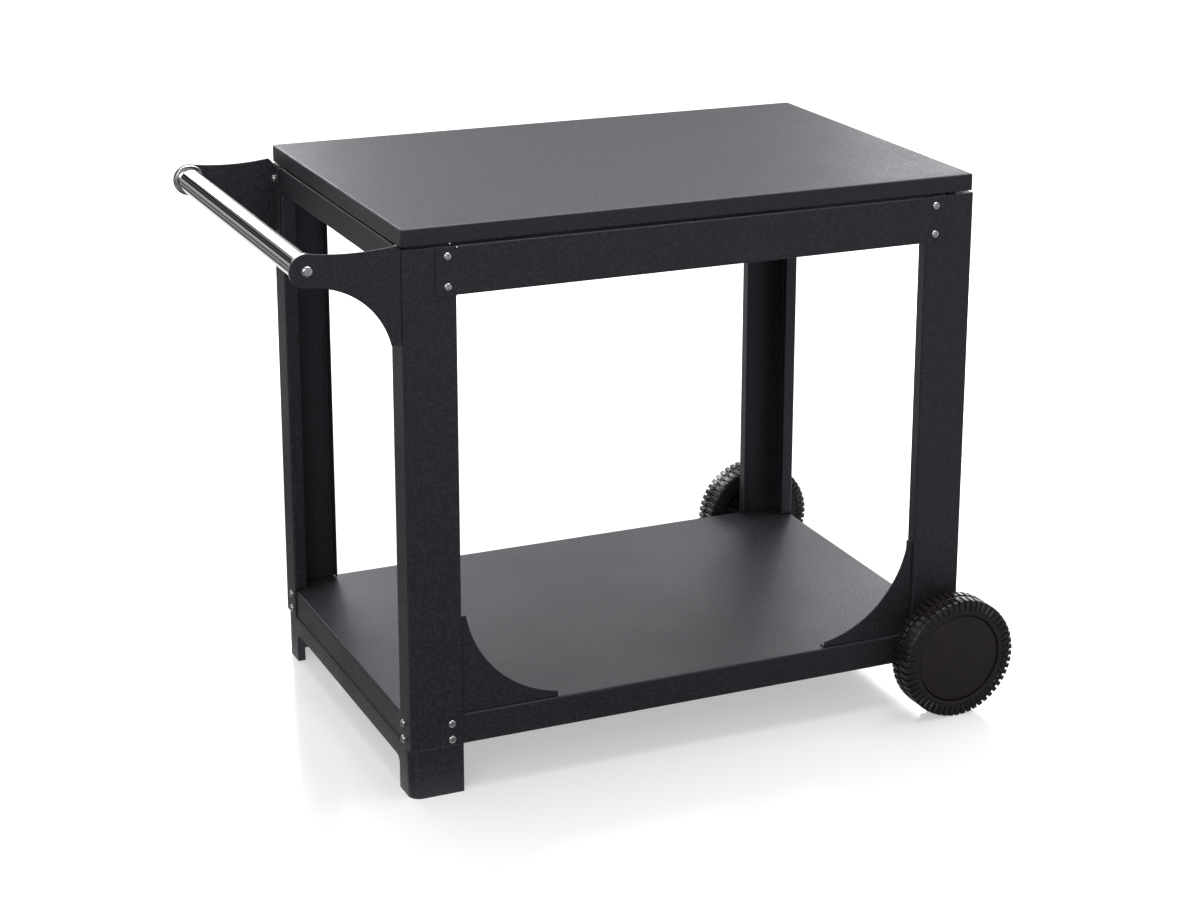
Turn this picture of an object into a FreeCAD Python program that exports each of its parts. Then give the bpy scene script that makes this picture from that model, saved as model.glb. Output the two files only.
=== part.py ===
import FreeCAD
import Part
import math
import os

V = FreeCAD.Vector
X, Y, Z = V(1, 0, 0), V(0, 1, 0), V(0, 0, 1)

# Driving dimensions, in millimetres and degrees.

# Table top: a tray of folded sheet, upside down.
top_length = 900.0
top_width = 600.0
top_height = 845.0
top_edge = 25.0
top_lip = 22.0
top_corner_r = 4.0
shadow_gap = 4.0

# Sheet thicknesses and folds.
sheet = 1.5
bracket_sheet = 2.5
skirt_sheet = 2.0
gusset_sheet = 2.0
fold_inner_r = 1.2
top_fold_r = 2.6

# Legs: angles with a return lip along both free edges.
leg_face = 80.0
leg_side = 47.0
leg_lip = 20.0
leg_proud = 1.0
lip_relief = 2.0
leg_flange = 22.0
leg_flange_relief = 2.0
leg_side_flange_end = 33.0

# Aprons under the top.
apron_height = 70.0
apron_flange = 22.0
apron_tab = 31.0
end_apron_height = 40.0
end_apron_tab = 29.0
end_channel_in = 38.0
tab_clearance = 0.5
tab_corner_r = 7.0
flange_relief = 1.5

# Lower shelf and its gussets.
foot_height = 75.0
shelf_edge = 45.0
shelf_lip = 18.0
shelf_corner_r = 4.0
gusset_size = 150.0
gusset_end = 8.5
gusset_arc_r = 172.0
gusset_flange = 16.0
gusset_corner_r = 6.0
gusset_setback = 1.5

# Stiffening ribs under the top and the shelf.
rib_width = 40.0
rib_depth = 18.0
rib_foot = 14.0
rib_end_gap = 70.0

# Foot skirt under the handle end.
skirt_corner_r = 18.0
skirt_flange = 22.0
foot_width = 52.0
arch_height = 48.0
arch_r = 12.0
arch_flange = 12.0

# Handle.
bar_d = 38.0
bar_wall = 1.5
bar_reach = 133.0
bar_drop = 44.0
nose_r = 24.0
nose_top_angle = 75.0
bracket_height = 140.0
bracket_rise = 4.0
bracket_foot = 15.0
bracket_flange = 40.0
bracket_dip = 4.3
bracket_corner_r = 6.0
collar_d = 47.0
collar_length = 6.0
plug_length = 26.0

# Wheels and axle.
wheel_r = 95.0
wheel_width = 48.0
wheel_gap = 20.0
axle_inset = 30.0
axle_d = 12.0
axle_slack = 0.3
lug_count = 54
lug_height = 3.6
lug_share = 0.68
lug_row_gap = 8.0
lug_chamfer = 4.0
rib_inner_r = 79.0
sidewall_step = 2.5
tread_rib_width = 3.0
tread_rib_height = 2.4
rim_bore_r = 68.0
cap_bore_r = 70.5
cap_groove = 1.4
cap_recess = 2.0
cap_thickness = 3.0
cap_skirt = 2.0
web_thickness = 4.0
web_set_in = 22.0
hub_r = 17.0
hub_set_in = 3.0
hub_outer_step = 2.0
spoke_count = 9
spoke_thickness = 4.0
bush_wall = 3.0
running_clearance = 0.05
side_clearance = 0.4
spacer_wall = 4.0
washer_d = 24.0
washer_thickness = 1.5
push_nut_d = 20.0
push_nut_length = 6.0
axle_end = 1.5

# Fasteners.
screw_d = 6.0
screw_head_d = 11.6
screw_head_h = 3.6
screw_tail = 2.0
recess_length = 6.4
recess_width = 1.9
recess_depth = 2.0
nut_flats = 10.0
nut_height = 5.0
hole_slack = 0.5
bar_screw_d = 8.0
bar_screw_head_d = 16.0
bar_screw_head_h = 5.0
bar_screw_length = 22.0
rivet_d = 4.0
rivet_head_d = 8.0
rivet_head_h = 1.6
rivet_tail_d = 6.0
rivet_tail = 3.0

# Places of the fasteners.
apron_screw_in = 14.0
apron_screw_gap = 43.0
end_screw_in = 19.0
bracket_screw_up = 24.0
shelf_screw_in = 17.5
shelf_screw_gap = 24.5
shelf_side_screw_in = 17.0
top_screw_in = 12.0
leg_screw_in = 34.0
skirt_screw_in = 11.0
skirt_screw_end = 65.0
skirt_return_screw = 38.0
gusset_rivet_first = 40.0
gusset_rivet_second = 110.0
top_spacer_d = 14.0

# Places worked out from the driving dimensions. The origin is on the floor, below the middle of the cart.
handle_overhang = bar_reach + nose_r
wheel_overhang = wheel_r - axle_inset
top_x0 = (handle_overhang - wheel_overhang - top_length) / 2
top_x1 = top_x0 + top_length
top_y = top_width / 2
middle_x = (top_x0 + top_x1) / 2
leg_x0 = top_x0 - leg_proud
leg_x1 = top_x1 + leg_proud
leg_y = top_y + leg_proud
inner_x0 = leg_x0 + leg_face
inner_x1 = leg_x1 - leg_face
inner_y = leg_y - leg_side

top_under = top_height - top_edge
apron_top = top_under - shadow_gap
apron_bottom = apron_top - apron_height
end_apron_bottom = apron_top - end_apron_height
shelf_top = foot_height + shelf_edge

bar_x = top_x0 - bar_reach
bar_z = top_height - bar_drop
bracket_top = top_under + bracket_rise
bracket_bottom = bracket_top - bracket_height

axle_r = axle_d / 2
axle_x = top_x1 - axle_inset
axle_z = wheel_r
wheel_y = leg_y + wheel_gap
hub_inner = hub_set_in
hub_outer = web_set_in + web_thickness + hub_outer_step


def box(x0, x1, y0, y1, z0, z1):
    """Box between two corners."""
    return Part.makeBox(x1 - x0, y1 - y0, z1 - z0, V(x0, y0, z0))


def rod(radius, start, axis, length):
    """Solid cylinder that starts at a point and runs along an axis."""
    return Part.makeCylinder(radius, length, start, axis)


def ring(outer_r, inner_r, start, axis, length):
    """Cylinder with a bore."""
    return rod(outer_r, start, axis, length).cut(rod(inner_r, start, axis, length))


def line(start, end):
    return Part.LineSegment(start, end).toShape()


def arc(start, through, end):
    return Part.Arc(start, through, end).toShape()


def filled(edges):
    """Face inside a closed chain of edges."""
    return Part.Face(Part.Wire(Part.__sortEdges__(edges)))


def mirrored_x(shape):
    """The same piece at the other end of the table top."""
    return shape.mirror(V(middle_x, 0, 0), X)


def mirrored_y(shape):
    """The same piece on the other side of the cart."""
    return shape.mirror(V(0, 0, 0), Y)


def left_of(way):
    return V(-way.y, way.x, 0)


def sheet_side(points, middle_r, offset):
    """Edges of one side of a folded sheet, to the left of its middle line by an offset."""
    edges = []
    here = points[0] + left_of((points[1] - points[0]).normalize()) * offset
    for before, corner, after in zip(points, points[1:], points[2:]):
        way_in = (corner - before).normalize()
        way_out = (after - corner).normalize()
        turn = math.copysign(1, way_in.cross(way_out).z)
        reach = middle_r * math.tan(way_in.getAngle(way_out) / 2)
        centre = corner - way_in * reach + left_of(way_in) * (turn * middle_r)
        radius = middle_r - turn * offset
        fold_start = centre - left_of(way_in) * (turn * radius)
        fold_end = centre - left_of(way_out) * (turn * radius)
        fold_middle = centre + (corner - centre).normalize() * radius
        edges += [line(here, fold_start), arc(fold_start, fold_middle, fold_end)]
        here = fold_end
    last_way = (points[-1] - points[-2]).normalize()
    edges.append(line(here, points[-1] + left_of(last_way) * offset))
    return edges


def folded(places, thickness, inner_r, length):
    """Folded sheet whose middle line follows places in XY, drawn out along Z."""
    points = [V(x, y, 0) for x, y in places]
    middle_r = inner_r + thickness / 2
    left = sheet_side(points, middle_r, thickness / 2)
    right = sheet_side(points, middle_r, -thickness / 2)
    caps = [
        line(left[0].firstVertex().Point, right[0].firstVertex().Point),
        line(left[-1].lastVertex().Point, right[-1].lastVertex().Point),
    ]
    return filled(left + caps + right).extrude(V(0, 0, length))


def rounded_edges(shape, radius, wanted):
    """Fillet the edges that a test on their middle point and direction picks."""
    chosen = []
    for edge in shape.Edges:
        way = (edge.lastVertex().Point - edge.firstVertex().Point).normalize()
        if wanted(edge.CenterOfMass, way):
            chosen.append(edge)
    return shape.makeFillet(radius, chosen)


def along(way, axis):
    """True where a direction runs along an axis, either way."""
    return abs(way.dot(axis)) > 0.999


class Spot:
    """Place of one screw or rivet: the seat of its head, the way it points and what it clamps."""

    def __init__(self, seat, way, stack):
        self.seat = seat
        self.way = way
        self.stack = stack

    def placed(self, shape):
        """Move a fastener made along -Z, with its head's seat at the origin, to this place."""
        turned = shape.copy()
        turned.Placement = FreeCAD.Placement(self.seat, FreeCAD.Rotation(Z * -1, self.way))
        return turned


def drilled(shape, spots, diameter):
    """Cut the holes of the spots through one piece."""
    holes = []
    for spot in spots:
        margin = max(sheet, bracket_sheet)
        start = spot.seat - spot.way * margin
        holes.append(rod(diameter / 2, start, spot.way, spot.stack + 2 * margin))
    return shape.cut(holes) if holes else shape


def pan_head(diameter, height):
    """Domed screw head with a cross recess, seated on z = 0."""
    radius = diameter / 2
    rim = height * 0.45
    dome = [
        line(V(0, 0, 0), V(radius, 0, 0)),
        line(V(radius, 0, 0), V(radius, 0, rim)),
        arc(V(radius, 0, rim), V(radius * 0.82, 0, height * 0.86), V(radius * 0.45, 0, height)),
        line(V(radius * 0.45, 0, height), V(0, 0, height)),
        line(V(0, 0, height), V(0, 0, 0)),
    ]
    head = filled(dome).revolve(V(0, 0, 0), Z, 360)
    reach = recess_length * diameter / screw_head_d / 2
    half = recess_width / 2
    floor = height - recess_depth
    slot = box(-reach, reach, -half, half, floor, height)
    cross = slot.fuse(box(-half, half, -reach, reach, floor, height))
    return head.cut(cross)


def screw(diameter, head_d, head_h, length):
    """Pan-head screw along -Z, with the seat of its head at the origin."""
    return pan_head(head_d, head_h).fuse(rod(diameter / 2, V(0, 0, 0), Z * -1, length))


def panel_screws(spots):
    """Screws that reach through their stack and their nut."""
    made = []
    for spot in spots:
        length = spot.stack + nut_height + screw_tail
        made.append(spot.placed(screw(screw_d, screw_head_d, screw_head_h, length)))
    return made


def hex_nut(stack):
    """Hexagon nut on the far side of a stack that hangs below z = 0."""
    radius = nut_flats / math.sqrt(3)
    corners = [V(radius * math.cos(a), radius * math.sin(a), -stack - nut_height) for a in
               [math.radians(60 * i) for i in range(7)]]
    blank = Part.Face(Part.makePolygon(corners)).extrude(V(0, 0, nut_height))
    bore_r = (screw_d + hole_slack) / 2
    return blank.cut(rod(bore_r, V(0, 0, -stack - nut_height), Z, nut_height))


def panel_nuts(spots):
    return [spot.placed(hex_nut(spot.stack)) for spot in spots]


# Places of the fasteners, each with its seat, its way and the thickness that it clamps.

def apron_spots():
    """Two screws through each tab of the long aprons."""
    spots = []
    middle = (apron_top + apron_bottom) / 2
    for side in (-1, 1):
        for x in (inner_x0 - apron_screw_in, inner_x1 + apron_screw_in):
            for z in (middle - apron_screw_gap / 2, middle + apron_screw_gap / 2):
                spots.append(Spot(V(x, side * (leg_y + sheet), z), V(0, -side, 0), 2 * sheet))
    return spots


def handle_spots():
    """Upper screws go through bracket, leg and end apron, lower ones through bracket and leg."""
    spots = []
    upper = (apron_top + end_apron_bottom) / 2
    lower = bracket_bottom + bracket_screw_up
    for side in (-1, 1):
        y = side * (leg_y - end_screw_in)
        spots.append(Spot(V(leg_x0 - bracket_sheet, y, upper), X, bracket_sheet + 2 * sheet))
        spots.append(Spot(V(leg_x0 - bracket_sheet, y, lower), X, bracket_sheet + sheet))
    return spots


def wheel_end_spots():
    """One screw through each tab of the apron at the wheel end."""
    middle = (apron_top + end_apron_bottom) / 2
    return [Spot(V(leg_x1, side * (leg_y - end_screw_in), middle), X * -1, 2 * sheet) for side in (-1, 1)]


def shelf_spots():
    """Two screws through both walls of each leg."""
    spots = []
    middle = (foot_height + shelf_top) / 2
    for z in (middle - shelf_screw_gap / 2, middle + shelf_screw_gap / 2):
        for side in (-1, 1):
            for x in (inner_x0 - shelf_screw_in, inner_x1 + shelf_screw_in):
                spots.append(Spot(V(x, side * leg_y, z), V(0, -side, 0), 2 * sheet))
            y = side * (inner_y + shelf_side_screw_in)
            spots.append(Spot(V(leg_x0, y, z), X, 2 * sheet))
            spots.append(Spot(V(leg_x1, y, z), X * -1, 2 * sheet))
    return spots


def top_spots():
    """Screws up through the flanges of legs and aprons into the lip of the top."""
    seat_z = apron_top - sheet
    stack = sheet + shadow_gap + sheet
    places = [(leg_x0 + sheet + top_screw_in, 0), (leg_x1 - sheet - top_screw_in, 0)]
    for side in (-1, 1):
        y = side * (leg_y - top_screw_in)
        places += [(leg_x0 + leg_screw_in, y), (middle_x, y), (leg_x1 - leg_screw_in, y)]
    return [Spot(V(x, y, seat_z), Z, stack) for x, y in places]


def skirt_spots():
    """Screws up through the skirt's top flange into the lip of the shelf."""
    seat_z = foot_height - skirt_sheet
    stack = skirt_sheet + sheet
    spots = []
    for side in (-1, 1):
        seat = V(leg_x0 + skirt_return_screw, side * (leg_y - skirt_screw_in), seat_z)
        spots.append(Spot(seat, Z, stack))
    for y in (skirt_screw_end - leg_y, 0, leg_y - skirt_screw_end):
        spots.append(Spot(V(leg_x0 + skirt_screw_in, y, seat_z), Z, stack))
    return spots


def gusset_spots():
    """Rivets through the level flange of the handle-end gusset into the shelf."""
    spots = []
    y = gusset_flange / 2 + gusset_plate_y()
    for step in (gusset_rivet_first, gusset_rivet_second):
        seat = V(inner_x0 + step, y, shelf_top + gusset_sheet)
        spots.append(Spot(seat, Z * -1, gusset_sheet + sheet))
    return spots


def mirrored_spots(spots):
    """The same fasteners at the other end of the table top."""
    return [Spot(V(2 * middle_x - s.seat.x, s.seat.y, s.seat.z), V(-s.way.x, s.way.y, s.way.z), s.stack)
            for s in spots]


def screw_hole_d():
    return screw_d + hole_slack


# Sheet-metal pieces.

def tray(x0, x1, y, z0, z1, lip, corner_r):
    """Upside-down tray with folded edges and a return lip along the bottom."""
    outer = rounded_edges(box(x0, x1, -y, y, z0, z1), corner_r, lambda p, way: along(way, Z))
    outer = rounded_edges(outer, top_fold_r, lambda p, way: abs(p.z - z1) < 0.01)
    hollow = box(x0 + sheet, x1 - sheet, sheet - y, y - sheet, z0 + sheet, z1 - sheet)
    mouth = box(x0 + lip, x1 - lip, lip - y, y - lip, z0, z1 - sheet)
    return outer.cut([hollow, mouth])


def make_table_top():
    blank = tray(top_x0, top_x1, top_y, top_under, top_height, top_lip, top_corner_r)
    return drilled(blank, top_spots(), screw_hole_d())


def make_rib(x0, x1, z1):
    """Hat-shaped stiffener along the cart, with its feet against the underside of a panel."""
    half = rib_width / 2 - sheet / 2
    low = sheet / 2
    high = rib_depth - sheet / 2
    tip = half + rib_foot
    outline = [(-tip, high), (-half, high), (-half, low), (half, low), (half, high), (tip, high)]
    hat = folded(outline, sheet, fold_inner_r, x1 - x0)
    hat.Placement = FreeCAD.Placement(V(x0, 0, z1 - rib_depth), FreeCAD.Rotation(Y, Z, X, "ZXY"))
    return hat


def make_top_stiffener():
    return make_rib(top_x0 + rib_end_gap, top_x1 - rib_end_gap, top_height - sheet)


def make_shelf_stiffener():
    return make_rib(top_x0 + rib_end_gap, top_x1 - rib_end_gap, shelf_top - sheet)


def make_leg():
    """Front leg at the handle end: plain angle outside the shelf's edge, lips above it, flanges on top."""
    near = sheet / 2
    face_end = leg_face - sheet / 2
    side_end = leg_side - sheet / 2
    plain = [(leg_face, near), (near, near), (near, leg_side)]
    lipped = [(face_end, leg_lip), (face_end, near), (near, near), (near, side_end), (leg_lip, side_end)]
    face_lip = lipped[:3] + [(near, leg_side)]
    lip_start = shelf_top + lip_relief
    lip_end = end_apron_bottom - lip_relief
    zones = [(plain, foot_height, lip_start), (lipped, lip_start, lip_end), (face_lip, lip_end, apron_top)]
    pieces = []
    for outline, low, high in zones:
        piece = folded(outline, sheet, fold_inner_r, high - low)
        piece.translate(V(leg_x0, -leg_y, low))
        pieces.append(piece)
    corner = 2 * sheet + leg_flange_relief
    flange_x0, flange_x1 = leg_x0 + corner, inner_x0 - corner
    flange_low = apron_top - sheet
    pieces.append(box(flange_x0, flange_x1, -leg_y, leg_flange - leg_y, flange_low, apron_top))
    side_y0, side_y1 = corner - leg_y, leg_side_flange_end - leg_y
    pieces.append(box(leg_x0, leg_x0 + leg_flange, side_y0, side_y1, flange_low, apron_top))
    return pieces[0].fuse(pieces[1:]).removeSplitter()


def make_legs():
    """Four legs by name, with the holes of all their screws and of the axle."""
    front = make_leg()
    shapes = {
        "leg_front_handle_end": front,
        "leg_rear_handle_end": mirrored_y(front),
        "leg_front_wheel_end": mirrored_x(front),
        "leg_rear_wheel_end": mirrored_y(mirrored_x(front)),
    }
    spots = apron_spots() + handle_spots() + wheel_end_spots() + shelf_spots() + top_spots()
    axle_hole = axle_bore()
    legs = {}
    for name, shape in shapes.items():
        legs[name] = drilled(shape, spots, screw_hole_d()).cut(axle_hole)
    return legs


def make_apron(span, height, tab, tab_top):
    """Channel between two legs with a flat tab at each end, outer face on y = 0, bottom on z = 0."""
    near = sheet / 2
    outline = [(apron_flange, near), (near, near), (near, height - near), (apron_flange, height - near)]
    channel_length = span - 2 * flange_relief
    channel = folded(outline, sheet, fold_inner_r, channel_length)
    channel.Placement = FreeCAD.Placement(V(-channel_length / 2, 0, 0), FreeCAD.Rotation(Y, Z, X, "ZXY"))
    reach = span / 2 + tab
    web_edge = fold_inner_r + sheet
    plate = box(-reach, reach, 0, sheet, 0, tab_top)
    plate = rounded_edges(plate, tab_corner_r, lambda p, way: along(way, Y))
    relief = span / 2
    for side_low, side_high in ((0, web_edge), (height - web_edge, height)):
        plate = plate.cut(box(-relief, relief, 0, sheet, side_low, side_high))
    return plate.fuse(channel).removeSplitter()


def make_long_apron():
    apron = make_apron(inner_x1 - inner_x0, apron_height, apron_tab, apron_height)
    apron.translate(V(middle_x, -leg_y - sheet, apron_bottom))
    return drilled(drilled(apron, apron_spots(), screw_hole_d()), top_spots(), screw_hole_d())


def make_end_apron():
    """Apron at the handle end, with its tabs inside the legs' walls and below their flanges."""
    tab_top = end_apron_height - sheet - tab_clearance
    apron = make_apron(2 * (leg_y - end_channel_in), end_apron_height, end_apron_tab, tab_top)
    turn = FreeCAD.Rotation(Z, -90)
    apron.Placement = FreeCAD.Placement(V(leg_x0 + sheet, 0, end_apron_bottom), turn)
    return apron


def make_end_aprons():
    handle_end = make_end_apron()
    wheel_end = mirrored_x(handle_end)
    spots = handle_spots() + wheel_end_spots() + top_spots()
    return {
        "apron_handle_end": drilled(handle_end, spots, screw_hole_d()),
        "apron_wheel_end": drilled(wheel_end, spots, screw_hole_d()),
    }


def make_shelf():
    x0 = leg_x0 + sheet
    x1 = leg_x1 - sheet
    blank = tray(x0, x1, leg_y - sheet, foot_height, shelf_top, shelf_lip, shelf_corner_r)
    shelf = drilled(blank, shelf_spots() + skirt_spots(), screw_hole_d()).cut(axle_bore())
    rivets = gusset_spots()
    return drilled(shelf, rivets + mirrored_spots(rivets), rivet_d + hole_slack)


def gusset_plate_y():
    """Front face of the gusset plates, just behind the fold of the shelf's front edge."""
    return sheet + top_fold_r + gusset_setback - leg_y


def make_gusset():
    """Plate with a hollow curve between leg and shelf, and a flange on each straight side."""
    spread = gusset_size - gusset_end
    centre = (gusset_size + gusset_end + math.sqrt(2 * gusset_arc_r ** 2 - spread ** 2)) / 2
    nearest = centre - gusset_arc_r * math.sqrt(0.5)
    outline = [
        line(V(0, 0, 0), V(gusset_size, 0, 0)),
        line(V(gusset_size, 0, 0), V(gusset_size, 0, gusset_end)),
        arc(V(gusset_size, 0, gusset_end), V(nearest, 0, nearest), V(gusset_end, 0, gusset_size)),
        line(V(gusset_end, 0, gusset_size), V(0, 0, gusset_size)),
        line(V(0, 0, gusset_size), V(0, 0, 0)),
    ]
    plate = filled(outline).extrude(V(0, gusset_sheet, 0))
    upright = box(0, gusset_sheet, 0, gusset_flange, 0, gusset_size)
    upright = rounded_edges(upright, gusset_corner_r,
                            lambda p, way: along(way, X) and p.y > gusset_sheet and p.z > gusset_end)
    level = box(0, gusset_size, 0, gusset_flange, 0, gusset_sheet)
    level = rounded_edges(level, gusset_corner_r,
                          lambda p, way: along(way, Z) and p.y > gusset_sheet and p.x > gusset_end)
    gusset = plate.fuse([upright, level]).removeSplitter()
    gusset.translate(V(inner_x0, gusset_plate_y(), shelf_top))
    return drilled(gusset, gusset_spots(), rivet_d + hole_slack)


def arch_opening(margin):
    """Block of the arch between the feet, wider all round by a margin."""
    half = leg_y - foot_width + margin
    reach = max(skirt_corner_r, arch_flange)
    block = box(leg_x0, leg_x0 + reach, -half, half, -2 * arch_r, arch_height + margin)
    return rounded_edges(block, arch_r + margin, lambda p, way: along(way, X))


def make_foot_skirt():
    """U-bent skirt with two feet, a flanged arch between them and a flange under the shelf."""
    near = skirt_sheet / 2
    x0, x1 = leg_x0 + near, inner_x0
    y = leg_y - near
    outline = [(x1, -y), (x0, -y), (x0, y), (x1, y)]
    wall = folded(outline, skirt_sheet, skirt_corner_r - skirt_sheet, foot_height)
    arch = arch_opening(0)
    rim = arch_opening(skirt_sheet).common(box(leg_x0, leg_x0 + arch_flange, -leg_y, leg_y, 0, foot_height))
    plate = box(leg_x0, x1, -leg_y, leg_y, foot_height - skirt_sheet, foot_height)
    plate = rounded_edges(plate, skirt_corner_r, lambda p, way: along(way, Z) and p.x < leg_x0 + 1)
    inside_y = leg_y - skirt_flange
    plate = plate.cut(box(leg_x0 + skirt_flange, x1, -inside_y, inside_y, 0, foot_height))
    skirt = wall.fuse([rim, plate]).cut(arch).removeSplitter()
    return drilled(skirt, skirt_spots(), screw_hole_d())


# Handle.

def make_bracket():
    """Front handle bracket: plate with a round nose, and a flange folded onto the leg."""
    nose = V(bar_x, 0, bar_z)
    top_angle = math.radians(nose_top_angle)
    nose_low = nose - Z * nose_r
    nose_high = nose + V(nose_r * math.cos(top_angle), 0, nose_r * math.sin(top_angle))
    foot = V(leg_x0 - bracket_foot, 0, bracket_bottom)
    width = foot.x - nose_low.x
    drop = nose_low.z - foot.z
    under_r = (width ** 2 + drop ** 2) / (2 * drop)
    half_turn = math.asin(width / under_r) / 2
    under_middle = nose_low + V(under_r * math.sin(half_turn), 0, under_r * (math.cos(half_turn) - 1))
    shoulder = V(leg_x0 - bracket_corner_r, 0, bracket_top)
    corner = V(leg_x0, 0, bracket_top - bracket_corner_r)
    dip = (nose_high + shoulder) / 2 - Z * bracket_dip
    outline = [
        arc(nose_low, nose - X * nose_r, nose_high),
        arc(nose_high, dip, shoulder),
        line(shoulder, corner),
        line(corner, V(leg_x0, 0, bracket_bottom)),
        line(V(leg_x0, 0, bracket_bottom), foot),
        arc(foot, under_middle, nose_low),
    ]
    plate = filled(outline).extrude(V(0, bracket_sheet, 0))
    flange = box(leg_x0 - bracket_sheet, leg_x0, 0, bracket_flange, bracket_bottom, corner.z)
    flange = rounded_edges(flange, bracket_corner_r, lambda p, way: along(way, X) and p.y > bracket_sheet)
    bracket = plate.fuse(flange).removeSplitter()
    bracket = rounded_edges(bracket, fold_inner_r + bracket_sheet / 2,
                            lambda p, way: along(way, Z) and abs(p.y) < 0.01 and abs(p.x - leg_x0) < 0.01)
    bracket.translate(V(0, -leg_y, 0))
    hole_r = (bar_screw_d + hole_slack) / 2
    bracket = bracket.cut(rod(hole_r, V(bar_x, -leg_y, bar_z), Y, bracket_sheet))
    return drilled(bracket, handle_spots(), screw_hole_d())


def collar_y():
    """Outer face of the bar's collars, against the insides of the brackets."""
    return leg_y - bracket_sheet


def make_handle_bar():
    half = collar_y() - collar_length
    return ring(bar_d / 2, bar_d / 2 - bar_wall, V(bar_x, -half, bar_z), Y, 2 * half)


def make_collar():
    """Front end of the bar: a collar on a plug that fills the tube and takes the screw."""
    start = V(bar_x, -collar_y(), bar_z)
    collar = rod(collar_d / 2, start, Y, collar_length)
    collar = collar.makeFillet(collar_length / 3, [e for e in collar.Edges if len(e.Vertexes) == 1])
    plug = rod(bar_d / 2 - bar_wall, start, Y, collar_length + plug_length)
    bore = rod((bar_screw_d + hole_slack) / 2, start, Y, bar_screw_length)
    return collar.fuse(plug).cut(bore).removeSplitter()


def bar_screws():
    made = screw(bar_screw_d, bar_screw_head_d, bar_screw_head_h, bar_screw_length)
    front = Spot(V(bar_x, -leg_y, bar_z), Y, bracket_sheet).placed(made)
    return [front, mirrored_y(front)]


# Wheels and axle. A wheel is made along Z from its inner face and then laid on the axle.

def axle_bore():
    """Hole of the axle through legs and shelf."""
    return rod(axle_r + axle_slack, V(axle_x, -leg_y - 1, axle_z), Y, 2 * leg_y + 2)


def on_front_axle(shape):
    """Lay a wheel piece on the front end of the axle, with its outer face outwards."""
    placed = shape.copy()
    placed.Placement = FreeCAD.Placement(V(axle_x, -wheel_y, axle_z), FreeCAD.Rotation(X, 90))
    return placed


def make_lug(z0, z1, chamfer_z):
    """One tread lug about the -Y direction, which also runs down the sidewall as a rib."""
    half = math.radians(180.0 * lug_share / lug_count)
    outer = [V(wheel_r * math.sin(a), -wheel_r * math.cos(a), 0) for a in (-half, 0, half)]
    inner = [V(rib_inner_r * math.sin(a), -rib_inner_r * math.cos(a), 0) for a in (-half, half)]
    outline = [arc(*outer), line(outer[2], inner[1]), line(inner[1], inner[0]), line(inner[0], outer[0])]
    lug = filled(outline).extrude(V(0, 0, z1 - z0))
    lug.translate(V(0, 0, z0))
    wanted = [e for e in lug.Edges if e.CenterOfMass.y < 0.001 - wheel_r * math.cos(half) and
              abs(e.CenterOfMass.z - chamfer_z) < 0.01]
    return lug.makeChamfer(lug_chamfer, wanted)


def around(shape, count, first_angle):
    """Copies of a wheel feature, evenly spaced about the axle."""
    copies = []
    for i in range(count):
        copy = shape.copy()
        copy.rotate(V(0, 0, 0), Z, first_angle + 360.0 * i / count)
        copies.append(copy)
    return copies


def make_wheel():
    """Moulded wheel: drum with lugs and a tread rib, web, hub and spokes."""
    origin = V(0, 0, 0)
    base_r = wheel_r - lug_height
    low = sidewall_step
    high = wheel_width - sidewall_step
    middle = wheel_width / 2
    drum = rod(base_r, V(0, 0, low), Z, high - low)
    drum = drum.makeFillet(lug_chamfer, [e for e in drum.Edges if len(e.Vertexes) == 1])
    web_high = web_set_in + web_thickness
    inner_hollow = rod(rim_bore_r, origin, Z, web_set_in)
    outer_hollow = rod(cap_bore_r, V(0, 0, web_high), Z, wheel_width)
    drum = drum.cut([inner_hollow, outer_hollow])
    hub = rod(hub_r, V(0, 0, hub_inner), Z, hub_outer - hub_inner)
    spoke_end = (rim_bore_r + base_r) / 2
    spoke = box(0, spoke_end, -spoke_thickness / 2, spoke_thickness / 2, 2 * hub_inner, web_set_in)
    rib_r = base_r + tread_rib_height
    tread_rib = rod(rib_r, V(0, 0, middle - tread_rib_width / 2), Z, tread_rib_width)
    tread_rib = tread_rib.cut(rod(cap_bore_r, origin, Z, wheel_width))
    row = (wheel_width - lug_row_gap) / 2
    inner_row = around(make_lug(0, row, 0), lug_count, 0)
    outer_row = around(make_lug(wheel_width - row, wheel_width, wheel_width), lug_count, 180.0 / lug_count)
    wheel = drum.fuse([hub, tread_rib] + around(spoke, spoke_count, 0) + inner_row + outer_row)
    bore = rod(axle_r + running_clearance + bush_wall, origin, Z, wheel_width)
    return on_front_axle(wheel.cut(bore).removeSplitter())


def make_hub_cap():
    """Flat disc in the wheel's outer face, on a skirt that stands on the web."""
    outer_r = cap_bore_r - cap_groove
    face = wheel_width - sidewall_step - cap_recess
    web_high = web_set_in + web_thickness
    disc = rod(outer_r, V(0, 0, face - cap_thickness), Z, cap_thickness)
    disc = disc.makeFillet(cap_groove, [e for e in disc.Edges if e.CenterOfMass.z > face - 0.01 and
                                        len(e.Vertexes) == 1])
    skirt = ring(outer_r, outer_r - cap_skirt, V(0, 0, web_high), Z, face - cap_thickness - web_high)
    return on_front_axle(disc.fuse(skirt).removeSplitter())


def make_bush():
    inner_r = axle_r + running_clearance
    bush = ring(inner_r + bush_wall, inner_r, V(0, 0, hub_inner), Z, hub_outer - hub_inner)
    return on_front_axle(bush)


def make_spacer():
    """Tube on the axle between the leg and the wheel's hub."""
    length = wheel_gap + hub_inner - side_clearance
    return ring(axle_r + spacer_wall, axle_r, V(axle_x, -leg_y, axle_z), Y * -1, length)


def make_washer():
    start = V(0, 0, hub_outer + side_clearance)
    return on_front_axle(ring(washer_d / 2, axle_r, start, Z, washer_thickness))


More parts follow.
